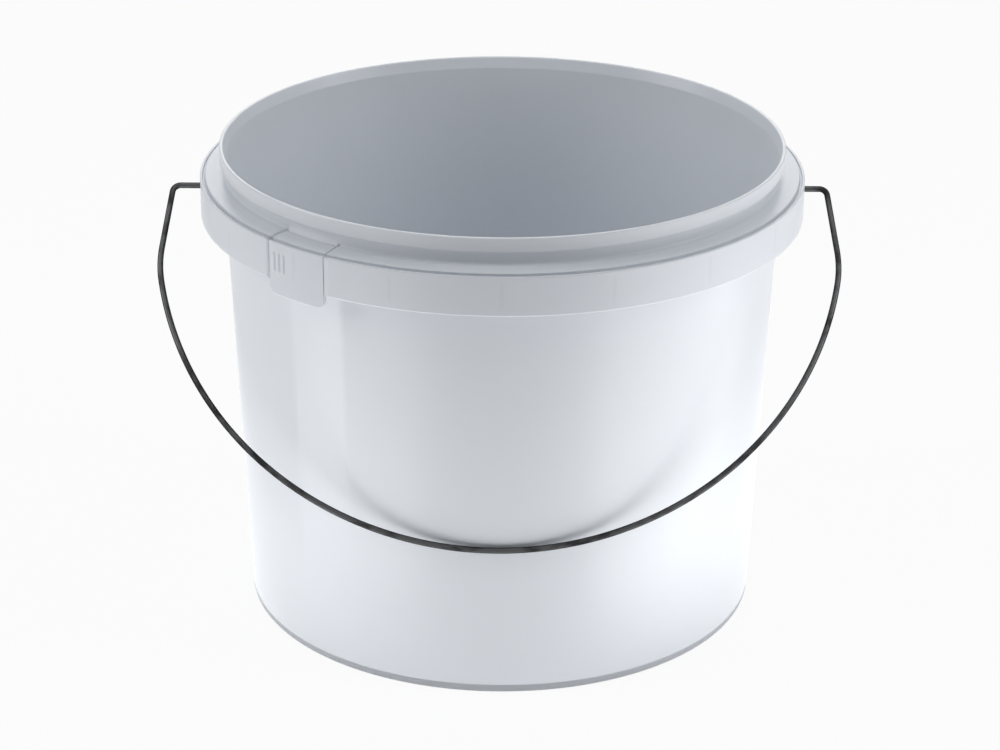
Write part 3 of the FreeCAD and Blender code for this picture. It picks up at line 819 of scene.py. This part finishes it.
def stage_world():
    """White behind everything for what the camera and reflections see, and soft grey light for the rest."""
    world = bpy.data.worlds.new("studio")
    bpy.context.scene.world = world
    nodes = Nodes(world)
    ambient = nodes.node("ShaderNodeBackground", {}, {"Color": AMBIENT_COLOUR, "Strength": AMBIENT_STRENGTH})
    white = nodes.node("ShaderNodeBackground", {}, {"Color": WHITE, "Strength": 1.0})
    nodes.close(nodes.node("ShaderNodeMixShader", {}, {0: nodes.seen(), 1: ambient, 2: white}),
                "ShaderNodeOutputWorld")


class PAIL_OT_stage(bpy.types.Operator):
    """Make the floor, the lamps, the backdrop and the camera"""
    bl_idname = "pail.stage"
    bl_label = "Stage"

    def execute(self, context):
        scene = context.scene
        span = np.linspace(-FLOOR_REACH, FLOOR_REACH, 3)
        x, y = np.meshgrid(span, span)
        points = np.stack([x, y, np.zeros_like(x)], axis=-1).reshape(-1, 3)
        mesh = bpy.data.meshes.new("floor")
        mesh.from_pydata(points.tolist(), [], grid_quads(3, 3))
        floor = bpy.data.objects.new("floor", mesh)
        scene.collection.objects.link(floor)
        mesh.materials.append(material(pale_floor, scene.pail_colours))
        floor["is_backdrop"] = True
        stage_world()
        for lamp in LAMPS:
            soft_box(*lamp)
        lens = bpy.data.cameras.new("camera")
        lens.lens = CAMERA_LENS
        lens.sensor_width = CAMERA_SENSOR
        camera = bpy.data.objects.new("camera", lens)
        camera.location = CAMERA_PLACE
        camera.rotation_mode = "QUATERNION"
        look = Vector(CAMERA_AIM) - camera.location
        camera.rotation_quaternion = look.to_track_quat("-Z", "Y") @ Quaternion((0, 0, 1), CAMERA_ROLL)
        scene.collection.objects.link(camera)
        scene.camera = camera
        scene.view_settings.view_transform = "Standard"
        return {"FINISHED"}


class PAIL_PT_panel(bpy.types.Panel):
    """The pail's operators, with its sizes and colours"""
    bl_idname = "PAIL_PT_panel"
    bl_label = "Pail"
    bl_space_type = "VIEW_3D"
    bl_region_type = "UI"
    bl_category = "Pail"

    def draw(self, context):
        for operator in OPERATORS:
            self.layout.operator(operator.bl_idname)
        for name, group in GROUPS.items():
            box = self.layout.box()
            for key in group.__annotations__:
                box.prop(getattr(context.scene, name), key)


GROUPS = {"pail_sizes": PailSizes, "tab_sizes": TabSizes, "bail_sizes": BailSizes,
          "pail_colours": PailColours}
OPERATORS = (PAIL_OT_bucket, PAIL_OT_tab, PAIL_OT_bail, PAIL_OT_stage)


def register():
    """Registers the property groups, the operators and the panel."""
    for group in GROUPS.values():
        bpy.utils.register_class(group)
    for name, group in GROUPS.items():
        setattr(bpy.types.Scene, name, PointerProperty(type=group))
    for operator in OPERATORS:
        bpy.utils.register_class(operator)
    bpy.utils.register_class(PAIL_PT_panel)


def unregister():
    """Takes them away again."""
    bpy.utils.unregister_class(PAIL_PT_panel)
    for operator in reversed(OPERATORS):
        bpy.utils.unregister_class(operator)
    for name, group in GROUPS.items():
        delattr(bpy.types.Scene, name)
        bpy.utils.unregister_class(group)


def main():
    """Makes every piece and the stage."""
    register()
    bpy.ops.pail.stage()
    bpy.ops.pail.bucket()
    bpy.ops.pail.tab()
    bpy.ops.pail.bail()
    boxes = {"cad": CAD_BOX, "visual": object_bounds()}
    boxes = {name: [list(corner) for corner in box] for name, box in boxes.items()}


if __name__ == "__main__":
    main()
